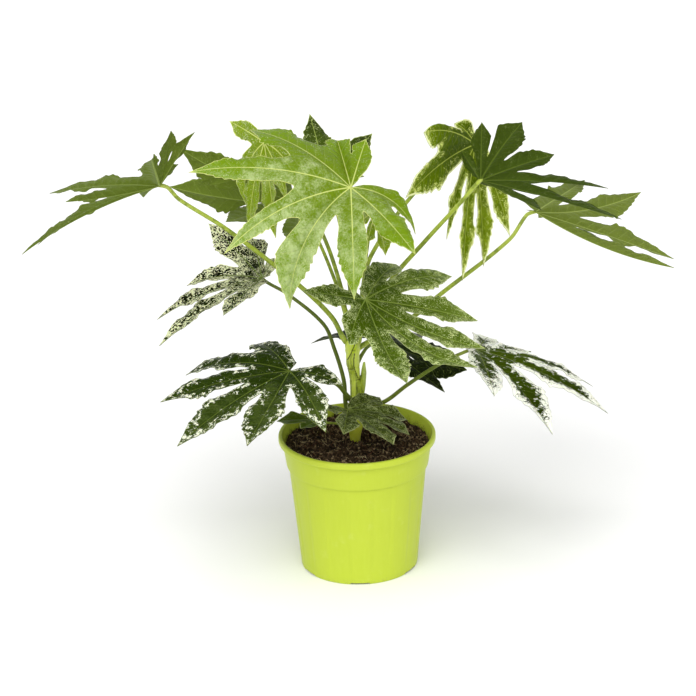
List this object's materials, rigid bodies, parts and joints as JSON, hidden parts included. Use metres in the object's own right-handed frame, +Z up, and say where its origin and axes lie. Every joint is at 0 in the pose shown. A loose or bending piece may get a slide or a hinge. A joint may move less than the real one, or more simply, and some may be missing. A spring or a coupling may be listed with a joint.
{
  "type": "variegated fatsia plant in nursery pot",
  "caption": "Potted fatsia: deeply lobed, toothed, variegated evergreen leaves on long arching stalks from a short stem, in a tapered lime green plastic pot that stands on its foot ring.",
  "frame": {"origin": "on the ground, under the middle of the box round the whole plant and its pot", "axes": "+Z up; +X to the right seen from the front; -Y towards the front, the side from which the large young leaf is seen"},
  "size_m": [0.7104, 0.4664, 0.5219],
  "materials": {
    "pot_plastic": "satin injection-moulded lime green polypropylene",
    "potting_soil": "matt, crumbly and fibrous dark brown compost",
    "stem": "smooth light green young bark with ringed leaf scars",
    "petiole": "smooth light green stalk",
    "leaf_lime": "young leaf: glossy yellow-green with greyed patches, pale veins and pale edges",
    "leaf_mottled": "glossy mid green, finely speckled with pale green",
    "leaf_speckled": "dark green densely speckled with cream",
    "leaf_dark_flecked": "glossy dark green with white flecks towards the edges",
    "leaf_white_edged": "dark green centres with broad white speckled edges",
    "leaf_dark": "glossy plain dark green",
    "leaf_olive": "dark green above, dull olive green beneath with pale midribs"
  },
  "bodies": {
    "root": {"pot": "pot_plastic", "soil": "potting_soil", "stem": "stem", "blade_crown_front": "leaf_lime", "petiole_crown_front": "petiole", "blade_crown_left": "leaf_lime", "petiole_crown_left": "petiole", "blade_crown_back": "leaf_olive", "petiole_crown_back": "petiole", "blade_crown_young": "leaf_lime", "petiole_crown_young": "petiole", "blade_left_back": "leaf_olive", "petiole_left_back": "petiole", "blade_left_high": "leaf_olive", "petiole_left_high": "petiole", "blade_left_mid": "leaf_speckled", "petiole_left_mid": "petiole", "blade_left_low": "leaf_dark_flecked", "petiole_left_low": "petiole", "blade_centre_front": "leaf_mottled", "petiole_centre_front": "petiole", "blade_centre_back": "leaf_dark", "petiole_centre_back": "petiole", "blade_right_low": "leaf_white_edged", "petiole_right_low": "petiole", "blade_right_high": "leaf_olive", "petiole_right_high": "petiole", "blade_right_drooping": "leaf_lime", "petiole_right_drooping": "petiole", "blade_right_far": "leaf_olive", "petiole_right_far": "petiole", "blade_base_front": "leaf_mottled", "petiole_base_front": "petiole", "blade_base_left": "leaf_dark", "petiole_base_left": "petiole"}
  },
  "joints": []
}
